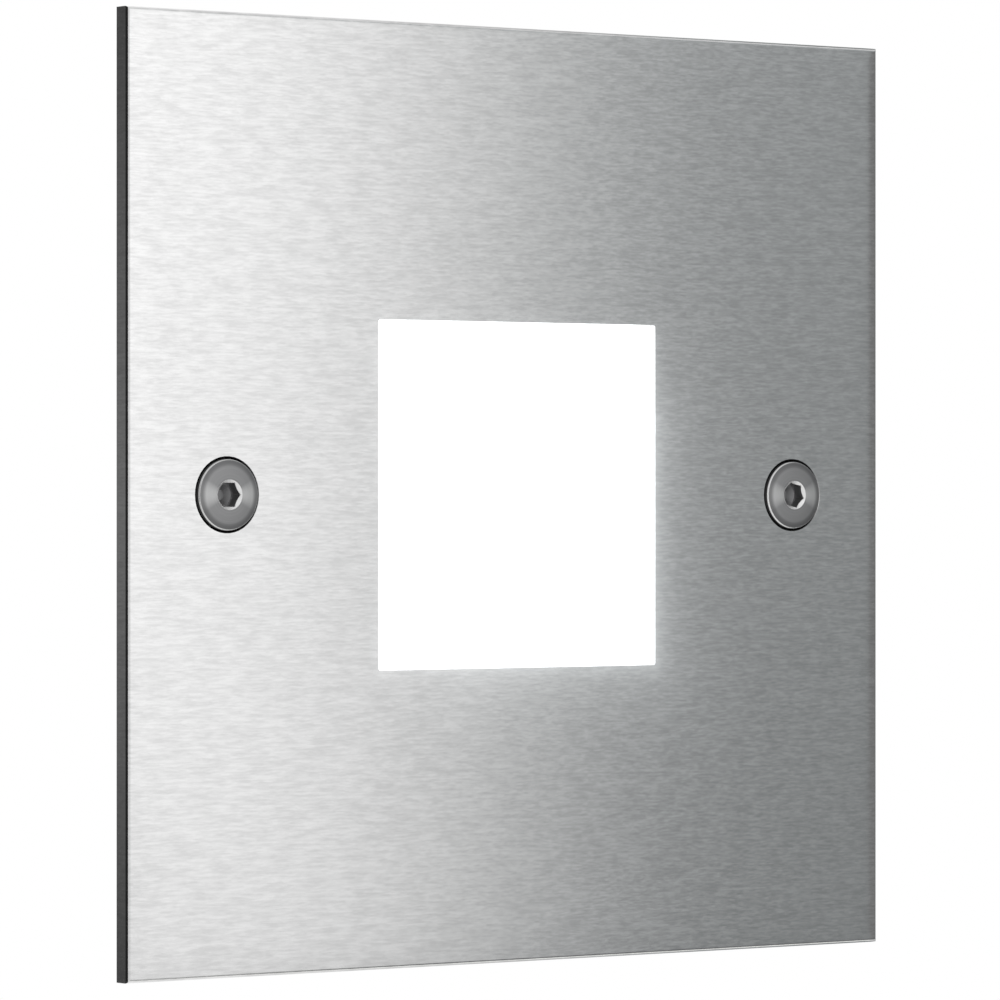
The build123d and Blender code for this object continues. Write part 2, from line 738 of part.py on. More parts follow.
def gland_cap():
    """Cap nut: hexagon grip, conical end, hollow for the collar and the seal."""
    thread = GLAND_COLLAR_D / 2 + GLAND_PLAY
    sleeve = seal_radius + CAP_SEAL_PLAY
    hole = SEAL_BORE_D / 2 + CAP_HOLE_PLAY
    seat = seal_end - GLAND_PLAY
    shell = turned_down(
        [
            (thread, cap_top),
            (CAP_D / 2, cap_top),
            (CAP_D / 2, cap_end + CAP_DOME),
            (CAP_D / 2 - CAP_DOME, cap_end),
            (hole, cap_end),
            (hole, seat),
            (sleeve - SEAL_TAPER, seat),
            (sleeve, seat + SEAL_TAPER),
            (sleeve, gland_collar_end - CAP_GAP),
            (thread, gland_collar_end - CAP_GAP),
        ]
    )
    return shell & hex_down(CAP_AF, cap_top, cap_end)


PIECES = {
    "front_plate": front_plate(),
    "window_lens": window_lens(),
    "lens_gasket": lens_gasket(),
    "lens_frame": lens_frame(),
    "lens_studs": lens_studs(),
    "lens_washers": lens_washers(),
    "lens_nuts": lens_nuts(),
    "left_screw": cover_screw(-screw_x, LEFT_SOCKET_TURN),
    "right_screw": cover_screw(screw_x, RIGHT_SOCKET_TURN),
    "left_screw_retainer": screw_retainer(-screw_x),
    "right_screw_retainer": screw_retainer(screw_x),
    "housing": housing(),
    "flange_gasket": flange_gasket(),
    "screw_inserts": screw_inserts(),
    "thermal_pad": thermal_pad(),
    "led_board": led_board(),
    "led_chips": led_chips(),
    "reflector": reflector(),
    "board_screws": board_screws(),
    "current_regulator": chip(regulator_x, REGULATOR_SIZE, REGULATOR_THICK, 1, 3),
    "bridge_rectifier": chip(rectifier_x, RECTIFIER_SIZE, RECTIFIER_THICK, 2, 2),
    "smoothing_capacitor": smoothing_capacitor(),
    "terminal_block": terminal_block(),
    "terminal_cages": terminal_cages(),
    "terminal_screws": terminal_screws(),
    "gland_body": gland_body(),
    "gland_o_ring": gland_o_ring(),
    "gland_seal": gland_seal(),
    "gland_cap": gland_cap(),
}

os.makedirs("parts", exist_ok=True)
for name, piece in PIECES.items():
    export_step(piece, f"parts/{name}.step")
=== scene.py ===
"""Recessed wall light: a brushed steel cover with a lit opal window on a die-cast pot.

Metres, X to the right, Y into the wall, Z up. The origin is the centre of the wall seat.
"""
import json
import math

import bpy
import numpy as np
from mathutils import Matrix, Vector


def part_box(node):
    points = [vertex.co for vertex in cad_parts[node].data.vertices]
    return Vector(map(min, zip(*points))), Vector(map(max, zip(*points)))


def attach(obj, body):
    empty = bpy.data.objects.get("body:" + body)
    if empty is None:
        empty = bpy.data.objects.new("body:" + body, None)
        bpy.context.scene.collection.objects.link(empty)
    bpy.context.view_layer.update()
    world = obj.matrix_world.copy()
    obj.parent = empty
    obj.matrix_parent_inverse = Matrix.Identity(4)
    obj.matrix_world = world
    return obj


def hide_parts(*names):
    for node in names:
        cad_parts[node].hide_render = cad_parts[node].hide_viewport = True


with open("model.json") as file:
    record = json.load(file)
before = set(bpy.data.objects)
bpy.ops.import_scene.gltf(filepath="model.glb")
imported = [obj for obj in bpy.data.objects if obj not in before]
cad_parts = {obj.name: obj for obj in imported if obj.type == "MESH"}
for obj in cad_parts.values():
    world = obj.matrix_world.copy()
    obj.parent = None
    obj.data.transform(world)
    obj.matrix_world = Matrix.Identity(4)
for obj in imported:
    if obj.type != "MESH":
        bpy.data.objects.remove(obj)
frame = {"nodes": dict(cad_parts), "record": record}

MM = 0.001
NODES = frame["nodes"]
SLOT_OF = {part["node"]: part["material_slot"] for part in frame["record"]["subparts"]}
BODY_OF = {
    node: body
    for body, members in frame["record"]["behaviour"]["bodies"].items()
    for node in members
}
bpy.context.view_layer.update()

# View: a square photograph taken from the left, level with the plate's centre
IMAGE_PIXELS = 1000
FOCAL_PIXELS = 6108.0
SENSOR_MM = 36.0
CAMERA_AT_MM = (-391.37, -530.08, -0.54)
CAMERA_TURN_DEG = -36.571
CAMERA_NEAREST_MM = 10.0

# Studio: a white room with a pale floor and a soft light in front
ROOM_LIGHT = 0.7
FLOOR_DROP_MM = 1000.0
FLOOR_SIZE_MM = 8000.0
FLOOR_WHITE = 0.55
SOFTBOX_AT_MM = (-60.0, -520.0, 260.0)
SOFTBOX_SIZE_MM = (600.0, 600.0)
SOFTBOX_POWER = 2.2

# The graduated card in front, which the plate's face mirrors
FRONT_CARD_Y_MM = -306.0
FRONT_CARD_X_MM = (-260.0, 760.0)
FRONT_CARD_Z_MM = 420.0
FRONT_CARD_FADE_MM = (152.0, 268.0)
FRONT_CARD_SLANT = 0.02  # how far the fade leans, for each unit of height
FRONT_CARD_RISE = 0.7  # gain in brightness for each metre of height
FRONT_CARD_LEVELS = (1.50, 0.385)
SHOULDER_MM = (-20.0, 105.0)  # the level falls again from the second to the first
SHOULDER_SLANT = 1.2  # how far the shoulder moves right, for each unit down
SHOULDER_SHARE = 0.7  # level left of the shoulder, as a share of the brightest

# Small cards close to the plate, which its rim mirrors
RIM_CARD_GAP_MM = 0.8
RIM_CARD_AHEAD_MM = 0.75
RIM_CARD_BEHIND_MM = 6.0
RIM_CARD_SPLIT_Y_MM = -5.0  # at the left: dark ahead of it, grey behind
RIM_CARD_LEVELS = (1.2, 0.35)  # above and below the plate, from left to right
SIDE_CARD_LEVELS = (0.22, 0.09)  # at half height and at the corners
LEFT_CARD_Z_MM = 260.0
RIGHT_CARD_GAP_MM = 2.0
RIGHT_CARD_AHEAD_MM = 3.5

# Brushed face of the plate: cells of its streaks along X, Y and Z
# The real lines are under 0.05 mm wide; they are drawn wider so that they show.
SHORT_STREAK_MM = (0.8, 0.8, 0.19)
LONG_STREAK_MM = (2.6, 2.6, 0.3)
PATCH_MM = (2.8, 2.8, 1.1)
PATCH_WEIGHT = 0.7  # share of the soft patches in the streaks
STREAK_SPAN = 0.35  # how far the streaks go from their middle
REAR_DULLNESS = 0.3  # added to the roughness at the rear
FACE_SKIN_MM = 0.02

# Brushing wears the plate's face down a little along its edges
EDGE_STRIP_MM = 4.0
EDGE_FALL_MM = 0.06

# Painted glow: emission on the steel round the lit window, standing in for its light,
# as centre, half size, fade and level, from X and Z in millimetres
PAINTED_GLOWS = (((0.3, -0.5), (18.2, 18.0), 0.9, 0.11), ((6.0, -5.0), (12.5, 13.0), 3.5, 0.15))

# Cover screws: M4, countersunk, with a hexagon socket and a captive waist
SOCKET_AF = 2.5
SOCKET_DEPTH = 1.5
SOCKET_LIP = 0.12
SOCKET_TURN_DEG = {"left_screw": 0.0, "right_screw": -14.0}
HEAD_CROWN = 0.15
HEAD_FACE_R = 3.575
HEAD_EDGE_ROUND = 0.06
HEAD_BEVEL_DEG = 62.0
HEAD_SEAT = 0.08  # where the countersunk cone starts, behind the plate's face
WAIST_D = 3.2
SCREW_PITCH = 0.7
SCREW_THREAD_DEPTH = 0.43
SCREW_TIP = 0.4

# Finish of the screw heads, with painted highlight and painted shade
SOCKET_MOUTH_R = 1.57  # just outside the lead-in
SOCKET_WALL_Y = -6.18  # the lead-in is ahead of it, the socket's wall behind, painted darker as painted shade in the socket
TURNING_STEP = 0.16  # spacing of the turned rings
TURNING_SHARE = 0.5
HIGHLIGHT_FAN_START = 0.86  # cosine of the angle from X at which the painted highlight fan starts
# brightness of the painted highlight fan
HIGHLIGHT_FAN_LEVEL = 0.75
HEAD_PAINTED_SHADE_R = (2.85, 3.3)  # painted shade: the face darkens between these radii
HEAD_PAINTED_SHADE = 0.7
HEAD_POLISH = 0.05  # width over which the face turns into the polished bevel
BEVEL_SHADE_Y = (-6.22, -6.14)  # below, the bevel is painted near-black, as painted shade of the gap round the head
HEAD_END_Y = -5.0  # the heads are ahead of it, the studs behind

# Weld studs: M3 on a low foot
STUD_D = 3.0
STUD_FOOT_D = 4.0
STUD_FOOT_THICK = 0.5
STUD_PITCH = 0.5
STUD_THREAD_DEPTH = 0.28
STUD_TIP = 0.3

# Small parts on the board, where two finishes meet
LAMP_PITCH = 7.5
LAMP_DISH_D = 2.2
CAPACITOR_FOOT = 0.9
CHIP_LEAD_OUT = 0.7

# Fineness of the turned pieces
SCREW_RING_POINTS = 240
STUD_RING_POINTS = 60
CROWN_ROWS = 16
EDGE_ROWS = 12
ROWS_PER_PITCH = 10
THREAD_FLAT = 0.125  # flat crest and flat root of a thread, each as a share of the pitch
SHARP_ANGLE_DEG = 32.0


# Shared steps


def box_mm(node):
    """The lowest and highest corner of a CAD piece, in millimetres."""
    low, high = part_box(node)
    return np.array(low) / MM, np.array(high) / MM


def linear(hex_colour):
    """An sRGB hex colour as linear red, green, blue and alpha."""
    parts = [int(hex_colour[i : i + 2], 16) / 255 for i in (1, 3, 5)]
    parts = [c / 12.92 if c <= 0.04045 else ((c + 0.055) / 1.055) ** 2.4 for c in parts]
    return (*parts, 1.0)


def add(tree, kind, inputs=None, **settings):
    """Adds a shader node. An input is a value, or the output of another node to link."""
    item = tree.nodes.new("ShaderNode" + kind)
    for key, value in settings.items():
        setattr(item, key, value)
    for key, value in (inputs or {}).items():
        if isinstance(value, bpy.types.NodeSocket):
            tree.links.new(value, item.inputs[key])
        else:
            item.inputs[key].default_value = value
    return item


def new_material(name):
    """An empty material with its node tree."""
    material = bpy.data.materials.new(name)
    material.use_nodes = True
    material.node_tree.nodes.clear()
    return material, material.node_tree


def surface(tree, shader):
    """Makes a shader the material's surface."""
    add(tree, "OutputMaterial", {"Surface": shader.outputs[0]})


def finished(material, inputs):
    """The material, with a surface of these inputs."""
    tree = material.node_tree
    surface(tree, add(tree, "BsdfPrincipled", inputs))
    return material


def glowing(material, colour, strength):
    """The material, as a light of a colour and strength."""
    tree = material.node_tree
    surface(tree, add(tree, "Emission", {"Color": colour, "Strength": strength}))
    return material


def maths(tree, operation, *values):
    """The result of a step of arithmetic on values and outputs of other nodes."""
    return add(tree, "Math", dict(enumerate(values)), operation=operation).outputs[0]


def place_on(tree):
    """The place on the object along X, Y and Z, in metres."""
    return add(tree, "SeparateXYZ", {0: add(tree, "TexCoord").outputs["Object"]}).outputs


def flat_length(tree, across, up):
    """The length of a line that goes across and up."""
    line = add(tree, "CombineXYZ", {0: across, 1: up}).outputs[0]
    return add(tree, "VectorMath", {0: line}, operation="LENGTH").outputs["Value"]


def grain(tree, cell_mm, detail=2.0):
    """A soft random pattern whose cells measure cell_mm along X, Y and Z, from 0 to 1."""
    place = add(tree, "TexCoord").outputs["Object"]
    scale = [1 / (size * MM) for size in cell_mm]
    cells = add(tree, "Mapping", {"Vector": place, "Scale": scale}).outputs[0]
    noise = add(tree, "TexNoise", {"Vector": cells, "Scale": 1.0, "Detail": detail})
    return noise.outputs["Fac"]


def spread(tree, value, low, high, start=0.3, end=0.7):
    """Maps a pattern's usual span to the span from low to high."""
    inputs = {0: value, 1: start, 2: end, 3: low, 4: high}
    return add(tree, "MapRange", inputs).outputs[0]


def either(tree, mask, first, second):
    """The first colour where the mask is 0, the second where it is 1."""
    return add(tree, "Mix", {0: mask, 6: first, 7: second}, data_type="RGBA").outputs[2]


def tinted(tree, value, dark, light):
    """A colour between two hex colours, chosen by a pattern from 0 to 1."""
    return either(tree, value, linear(dark), linear(light))


def beyond(tree, axis, limit_mm, centre_mm=None):
    """1 where the place along an axis is past a limit, or farther than that from a centre."""
    place = place_on(tree)[axis]
    if centre_mm is not None:
        place = maths(tree, "ABSOLUTE", maths(tree, "SUBTRACT", place, centre_mm * MM))
    return maths(tree, "GREATER_THAN", place, limit_mm * MM)


def relief(tree, value, depth_mm):
    """Surface relief of a depth in millimetres that follows a pattern."""
    inputs = {"Height": value, "Distance": depth_mm * MM, "Strength": 1.0}
    return add(tree, "Bump", inputs).outputs[0]


# Finishes


def brushed_stainless():
    """Stainless steel brushed across: satin, with fine streaks and a painted glow round the
    window, which the steel emits.

    The rear face keeps its dull mill finish.
    """
    material, tree = new_material("brushed_stainless")
    rear = beyond(tree, 1, box_mm("front_plate")[1][1] - FACE_SKIN_MM)
    short = grain(tree, SHORT_STREAK_MM, 1.0)
    streaks = maths(tree, "ADD", short, grain(tree, LONG_STREAK_MM, 1.0))
    patches = grain(tree, PATCH_MM, 1.0)
    streaks = maths(tree, "MULTIPLY_ADD", patches, PATCH_WEIGHT, streaks)
    middle = 1.0 + PATCH_WEIGHT / 2
    streaks = spread(tree, streaks, 0, 1, middle - STREAK_SPAN, middle + STREAK_SPAN)
    brushed = tinted(tree, streaks, "#c1c1c1", "#d3d3d3")
    dull = tinted(tree, grain(tree, (4.0, 4.0, 4.0), 4.0), "#a8a9aa", "#bcbdbe")
    satin = spread(tree, short, 0.15, 0.19)
    return finished(
        material,
        {
            "Base Color": either(tree, rear, brushed, dull),
            "Metallic": 1.0,
            "Roughness": maths(tree, "MULTIPLY_ADD", rear, REAR_DULLNESS, satin),
            # painted light: the steel emits a glow round the window
            "Emission Color": linear("#f2f6f8"),
            "Emission Strength": painted_window_glow(tree),
            "Normal": relief(tree, edge_fall(tree), EDGE_FALL_MM),
        },
    )


def edge_fall(tree):
    """Height of the plate's face: 1 less the square of the way across the edge strip."""
    place = place_on(tree)
    sides = [maths(tree, "ABSOLUTE", place[axis]) for axis in (0, 2)]
    half = box_mm("front_plate")[1][0]
    strip = (half - EDGE_STRIP_MM) * MM, half * MM
    way = spread(tree, maths(tree, "MAXIMUM", *sides), 0.0, 1.0, *strip)
    return maths(tree, "SUBTRACT", 1.0, maths(tree, "POWER", way, 2.0))


def painted_window_glow(tree):
    """Painted light: the steel emits a glow round the window, in place of light spilt from the
    lens: a thin rim, wider at the right and below.
    """
    place = place_on(tree)
    return maths(tree, "ADD", *(painted_spill(tree, place, *glow) for glow in PAINTED_GLOWS))


def painted_spill(tree, place, centre_mm, half_mm, fade_mm, level):
    """A painted glow, emitted by the steel, that is even over a rectangle and dies away with the
    distance from it.
    """
    outside = []
    for axis, centre, half in zip((0, 2), centre_mm, half_mm):
        reach = maths(tree, "ABSOLUTE", maths(tree, "SUBTRACT", place[axis], centre * MM))
        outside.append(maths(tree, "MAXIMUM", maths(tree, "SUBTRACT", reach, half * MM), 0.0))
    power = maths(tree, "MULTIPLY", flat_length(tree, *outside), -1 / (fade_mm * MM))
    return maths(tree, "MULTIPLY", maths(tree, "EXPONENT", power), level)


def stainless_fastener():
    """Turned stainless steel: satin faces with fine rings, polished edges, and painted light: a
    bright highlight fan on the face, and shade towards its edge, in the gap round the head and in
    the socket.

    The pattern is drawn once, round the right screw's axis, and mirrored for the left screw.
    """
    material, tree = new_material("stainless_fastener")
    place = place_on(tree)
    axis_x = sum(box_mm("right_screw"))[0] / 2 * MM
    across = maths(tree, "SUBTRACT", maths(tree, "ABSOLUTE", place[0]), axis_x)
    radius = flat_length(tree, across, place[2])
    # painted highlight: a bright fan on the turned face, left and right of the axis
    fan = maths(tree, "DIVIDE", maths(tree, "ABSOLUTE", across), radius)
    fan = spread(tree, fan, 0.0, HIGHLIGHT_FAN_LEVEL, HIGHLIGHT_FAN_START, 1.0)
    along = add(tree, "CombineXYZ", {0: radius}).outputs[0]
    rings = add(tree, "TexNoise", {"Vector": along, "Scale": 1 / (TURNING_STEP * MM)})
    patch = maths(tree, "MULTIPLY_ADD", rings.outputs["Fac"], TURNING_SHARE, fan)
    face = tinted(tree, patch, "#7a7a7b", "#b2b2b2")
    # painted shade: the face is painted darker towards its edge
    shade = spread(tree, radius, 0.0, HEAD_PAINTED_SHADE, *(r * MM for r in HEAD_PAINTED_SHADE_R))
    face = either(tree, shade, face, linear("#5a5a5b"))
    polish = HEAD_FACE_R * MM, (HEAD_FACE_R + HEAD_POLISH) * MM
    edge = spread(tree, radius, 0.0, 1.0, *polish)
    # painted shade: the bevel's part in the gap round the head is painted near-black
    low = spread(tree, place[1], 0.0, 1.0, *(y * MM for y in BEVEL_SHADE_Y))
    ahead = maths(tree, "LESS_THAN", place[1], HEAD_END_Y * MM)
    low = maths(tree, "MULTIPLY", low, ahead)
    head = either(tree, edge, face, tinted(tree, low, "#dcdcdc", "#303031"))
    inside = maths(tree, "LESS_THAN", radius, SOCKET_MOUTH_R * MM)
    # painted shade: the socket's wall is painted darker than its lead-in
    shaded_socket_wall = maths(tree, "GREATER_THAN", place[1], SOCKET_WALL_Y * MM)
    socket = tinted(tree, shaded_socket_wall, "#dcdcdc", "#8a8a8b")
    return finished(
        material,
        {
            "Base Color": either(tree, inside, head, socket),
            "Metallic": 1.0,
            "Roughness": spread(tree, radius, 0.48, 0.18, *polish),
        },
    )


def plain_metal(name, dark, light, roughness, cell_mm, detail):
    """A metal that is faintly mottled in tone and roughness."""
    material, tree = new_material(name)
    mottle = grain(tree, cell_mm, detail)
    return finished(
        material,
        {
            "Base Color": tinted(tree, mottle, dark, light),
            "Metallic": 1.0,
            "Roughness": spread(tree, mottle, *roughness),
        },
    )


def die_cast_aluminium():
    """Die-cast aluminium, as cast: matt, grey, with a fine grit and soft flow marks."""
    material, tree = new_material("die_cast_aluminium")
    flow = grain(tree, (9.0, 14.0, 9.0), 4.0)
    grit = grain(tree, (0.35, 0.35, 0.35), 3.0)
    return finished(
        material,
        {
            "Base Color": tinted(tree, flow, "#9b9ea1", "#b9bcbe"),
            "Metallic": 1.0,
            "Roughness": spread(tree, flow, 0.42, 0.56),
            "Normal": relief(tree, grit, 0.02),
        },
    )


def opal_acrylic():
    """Opal acrylic, satin, lit from behind: an even white glow."""
    material, tree = new_material("opal_acrylic")
    glow = grain(tree, (30.0, 30.0, 30.0), 0.0)
    return finished(
        material,
        {
            "Base Color": linear("#f4f6f7"),
            "Roughness": 0.35,
            "IOR": 1.49,
            "Emission Color": tinted(tree, glow, "#f7fbfd", "#ffffff"),
            "Emission Strength": 1.0,
        },
    )


def moulded(name, dark, light, roughness, cell_mm=0.5, depth_mm=0.01):
    """A moulded plastic or rubber: a fine even grain, slightly uneven in tone."""
    material, tree = new_material(name)
    tone = grain(tree, (8.0, 8.0, 8.0), 3.0)
    skin = grain(tree, (cell_mm, cell_mm, cell_mm), 2.0)
    return finished(
        material,
        {
            "Base Color": tinted(tree, tone, dark, light),
            "Roughness": spread(tree, skin, roughness - 0.06, roughness + 0.06),
            "Normal": relief(tree, skin, depth_mm),
        },
    )


def capacitor_can():
    """Drawn aluminium can, bright and smooth, on a black moulded foot."""
    material, tree = new_material("capacitor_can")
    tone = grain(tree, (2.0, 0.2, 2.0), 2.0)
    foot = beyond(tree, 1, box_mm("smoothing_capacitor")[1][1] - CAPACITOR_FOOT)
    can = tinted(tree, tone, "#a9abad", "#cfd0d1")
    return finished(
        material,
        {
            "Base Color": either(tree, foot, can, linear("#202123")),
            "Metallic": spread(tree, foot, 1.0, 0.0, 0.0, 1.0),
            "Roughness": spread(tree, tone, 0.22, 0.34),
        },
    )


def chip_black():
    """Black moulded chip, matt, with tinned leads above and below its body."""
    material, tree = new_material("chip_black")
    low, high = box_mm("bridge_rectifier")
    middle, half = (low[2] + high[2]) / 2, (high[2] - low[2]) / 2
    leads = beyond(tree, 2, half - CHIP_LEAD_OUT, middle)
    skin = grain(tree, (0.3, 0.3, 0.3), 2.0)
    body = tinted(tree, skin, "#1a1b1d", "#26282a")
    return finished(
        material,
        {
            "Base Color": either(tree, leads, body, linear("#c4c6c8")),
            "Metallic": leads,
            "Roughness": spread(tree, skin, 0.44, 0.56),
        },
    )


def lamp_package():
    """White lamp package with a yellow phosphor dish in the middle of each lamp."""
    material, tree = new_material("lamp_package")
    place = place_on(tree)
    cell = LAMP_PITCH / 2 * MM
    local = [maths(tree, "WRAP", place[axis], cell, -cell) for axis in (0, 2)]
    dish = maths(tree, "LESS_THAN", flat_length(tree, *local), LAMP_DISH_D / 2 * MM)
    tone = grain(tree, (0.6, 0.6, 0.6), 2.0)
    white = tinted(tree, tone, "#e4e4df", "#f0f0ec")
    yellow = tinted(tree, tone, "#e3c552", "#f2dc80")
    return finished(
        material,
        {
            "Base Color": either(tree, dish, white, yellow),
            "Roughness": spread(tree, tone, 0.34, 0.46),
        },
    )


ZINC = ("#9aa0a6", "#c3c8cc", (0.28, 0.42), (3.0, 3.0, 3.0), 4.0)
BRASS = ("#b98f47", "#dcb96c", (0.22, 0.36), (1.5, 1.5, 1.5), 3.0)
FINISHES = {
    "brushed_stainless": brushed_stainless(),
    "stainless_fastener": stainless_fastener(),
    "zinc_steel": plain_metal("zinc_steel", *ZINC),
    "opal_acrylic": opal_acrylic(),
    "silicone_rubber": moulded("silicone_rubber", "#c4c4c0", "#d3d2cd", 0.55),
    "black_rubber": moulded("black_rubber", "#1c1c1d", "#2a2a2b", 0.7, 0.3, 0.02),
    "natural_nylon": moulded("natural_nylon", "#dcd7c8", "#ebe6d9", 0.42),
    "grey_nylon": moulded("grey_nylon", "#62666a", "#70757a", 0.45, 0.25, 0.012),
    "die_cast_aluminium": die_cast_aluminium(),
    "brass": plain_metal("brass", *BRASS),
    "thermal_silicone": moulded("thermal_silicone", "#8f9fb0", "#a3b1c0", 0.65),
    "white_board": moulded("white_board", "#e3e3df", "#efefec", 0.35),
    "lamp_package": lamp_package(),
    "chip_black": chip_black(),
    "capacitor_can": capacitor_can(),
    "white_polycarbonate": moulded("white_polycarbonate", "#e6e6e2", "#f2f2ef", 0.4),
    "green_terminal": moulded("green_terminal", "#2c6b43", "#357c4f", 0.42),
}


# Pieces


def ring_angles(count, turn=0.0):
    """Angles of a ring's points, from a first one."""
    return turn + np.arange(count) * 2 * math.pi / count


def thread_rows(angles, core_r, pitch, depth, start, end):
    """Rows of (radius, y) of a right-handed thread on a core, from start to end.

    The phase is y over pitch plus angle over a full turn. The tooth is a triangle wave of the
    phase with a flat crest and root, and it grows from nothing over the first pitch.
    """
    steps = int((end - start) / pitch * ROWS_PER_PITCH)
    y = np.linspace(start, end, steps)
    phase = y[:, None] / pitch + angles[None, :] / (2 * math.pi)
    wave = np.abs(2 * (phase % 1) - 1)
    tooth = np.clip((wave - THREAD_FLAT) / (1 - 2 * THREAD_FLAT), 0, 1)
    growth = np.clip((y - start) / pitch, 0, 1)
    return list(zip(core_r + depth * tooth * growth[:, None], y))


def turned_piece(name, rows, angles, places):
    """A solid turned about Y: rings of (radius, y) joined by quads, closed by a fan at each end.

    A ring's point is (radius cos angle, y, radius sin angle). Radius and y may vary with the
    angle. The solid is copied to each place (x, z). Rows run from the front end to the rear.
    """
    count = len(angles)
    radius = np.stack([np.broadcast_to(r, count) for r, _ in rows])
    y = np.stack([np.broadcast_to(d, count) for _, d in rows])
    rings = np.stack([radius * np.cos(angles), y, radius * np.sin(angles)], axis=-1)
    poles = np.array([[0, y[0].mean(), 0], [0, y[-1].mean(), 0]])
    solid = np.concatenate([rings.reshape(-1, 3), poles])
    index = np.arange(len(rows) * count).reshape(len(rows), count)
    ahead = np.roll(index, -1, axis=1)
    quads = np.stack([index[:-1], index[1:], ahead[1:], ahead[:-1]], axis=-1).reshape(-1, 4)
    front = np.stack([np.full(count, len(solid) - 2), index[0], ahead[0]], axis=-1)
    rear = np.stack([np.full(count, len(solid) - 1), ahead[-1], index[-1]], axis=-1)
    points = np.concatenate([solid + (x, 0, z) for x, z in places])
    shifts = [i * len(solid) for i in range(len(places))]
    faces = [(part + s).tolist() for s in shifts for part in (quads, front, rear)]
    mesh = bpy.data.meshes.new(name)
    mesh.from_pydata((points * MM).tolist(), [], sum(faces, []))
    return shaded(name, mesh)


def shaded(name, mesh):
    """An object for a mesh, smooth but for its sharp edges."""
    mesh.polygons.foreach_set("use_smooth", np.ones(len(mesh.polygons), dtype=bool))
    mesh.set_sharp_from_angle(angle=math.radians(SHARP_ANGLE_DEG))
    piece = bpy.data.objects.new(name, mesh)
    bpy.context.scene.collection.objects.link(piece)
    return piece


def stand_for(piece, node):
    """Puts a new piece in the place of a CAD piece, with its body and its finish."""
    piece.data.materials.clear()
    piece.data.materials.append(FINISHES[SLOT_OF[node]])
    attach(piece, BODY_OF[node])
    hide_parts(node)


def socket_rows(hexagon, lip, crown_y):
    """Rows of the socket, from the drill's point in its floor to its lead-in at the crown."""
    drill = SOCKET_AF / 2 - SOCKET_LIP
    floor_y = crown_y + SOCKET_DEPTH
    return [
        (drill / 2, floor_y + drill / 2),
        (drill, floor_y),
        (hexagon, floor_y),
        (hexagon, crown_y + lip - hexagon),
    ]


def head_rows(lip, rim, crown_y):
    """Rows of the head: its crown, the small round at the edge, and the bevel to the rim."""
    share = np.linspace(0, 1, CROWN_ROWS)
    edge_y = crown_y + HEAD_CROWN
    rows = list(zip(lip + (HEAD_FACE_R - lip) * share, crown_y + HEAD_CROWN * share**2))
    bevel = math.radians(HEAD_BEVEL_DEG)
    bend = np.linspace(0, bevel, EDGE_ROWS)[1:]
    edge_r = HEAD_FACE_R + HEAD_EDGE_ROUND * np.sin(bend)
    rows += list(zip(edge_r, edge_y + HEAD_EDGE_ROUND * (1 - np.cos(bend))))
    return rows + [(rim, edge_y + (rim - HEAD_FACE_R) * math.tan(bevel))]


def cover_screw(node):
    """Captive cover screw: hexagon socket, crowned head with a round rim, waist and thread.

    The socket's wall is a hexagon, apothem over the cosine of the angle from the nearest flat,
    and its lead-in is a 45 degree cone. The crown falls with the square of the radius to a
    small round, and a bevel leads from there to the rim.
    """
    low, high = box_mm(node)
    turn = math.radians(SOCKET_TURN_DEG[node])
    angles = ring_angles(SCREW_RING_POINTS, turn)
    sixth = math.pi / 3
    hexagon = SOCKET_AF / 2 / np.cos((angles - turn) % sixth - sixth / 2)
    lip = hexagon.max() + SOCKET_LIP
    rim = (high[0] - low[0]) / 2
    waist = WAIST_D / 2
    seat_y = box_mm("front_plate")[0][1] + HEAD_SEAT
    thread_y = box_mm("screw_inserts")[0][1]
    rows = socket_rows(hexagon, lip, low[1]) + head_rows(lip, rim, low[1])
    rows += [(rim, seat_y), (waist, seat_y + rim - waist)]
    tooth = (SCREW_PITCH, SCREW_THREAD_DEPTH)
    rows += thread_rows(angles, waist, *tooth, thread_y, high[1] - SCREW_TIP)
    rows += [(waist, high[1])]
    centre = (low + high) / 2
    return turned_piece(node + "_turned", rows, angles, [(centre[0], centre[2])])


def weld_studs():
    """Four threaded studs, each on its weld foot."""
    low, high = box_mm("lens_studs")
    angles = ring_angles(STUD_RING_POINTS)
    foot_r = STUD_FOOT_D / 2
    foot_y = low[1] + STUD_FOOT_THICK
    core = STUD_D / 2 - STUD_THREAD_DEPTH
    rows = [(foot_r, low[1]), (foot_r, foot_y)]
    tooth = (STUD_PITCH, STUD_THREAD_DEPTH)
    rows += thread_rows(angles, core, *tooth, foot_y, high[1] - STUD_TIP)
    rows += [(core, high[1])]
    offset = high[0] - foot_r
    places = [(x, z) for x in (-offset, offset) for z in (-offset, offset)]
    return turned_piece("lens_studs_threaded", rows, angles, places)


for node, slot in SLOT_OF.items():
    for place in NODES[node].material_slots:
        place.material = FINISHES[slot]

for node in SOCKET_TURN_DEG:
    stand_for(cover_screw(node), node)
stand_for(weld_studs(), "lens_studs")


# Studio


def seen_rays(tree):
    """1 for rays from the camera, and for those mirrored or let through by the object."""
    path = add(tree, "LightPath").outputs
    first = maths(tree, "MAXIMUM", path["Is Camera Ray"], path["Is Glossy Ray"])
    return maths(tree, "MAXIMUM", first, path["Is Transmission Ray"])


def white_room():
    """World: white where it is seen, dimmer as a light."""
    world = bpy.data.worlds.new("white_room")
    bpy.context.scene.world = world
    world.use_nodes = True
    tree = world.node_tree
    tree.nodes.clear()
    strength = spread(tree, seen_rays(tree), ROOM_LIGHT, 1.0, 0.0, 1.0)
    back = add(tree, "Background", {"Color": (1, 1, 1, 1), "Strength": strength})
    add(tree, "OutputWorld", {"Surface": back.outputs[0]})


def flat_panel(name, corners_mm, material):
    """A four-cornered stage panel."""
    mesh = bpy.data.meshes.new(name)
    mesh.from_pydata([tuple(c * MM for c in corner) for corner in corners_mm], [], [(0, 1, 2, 3)])
    mesh.materials.append(material)
    panel = bpy.data.objects.new(name, mesh)
    bpy.context.scene.collection.objects.link(panel)
    return panel


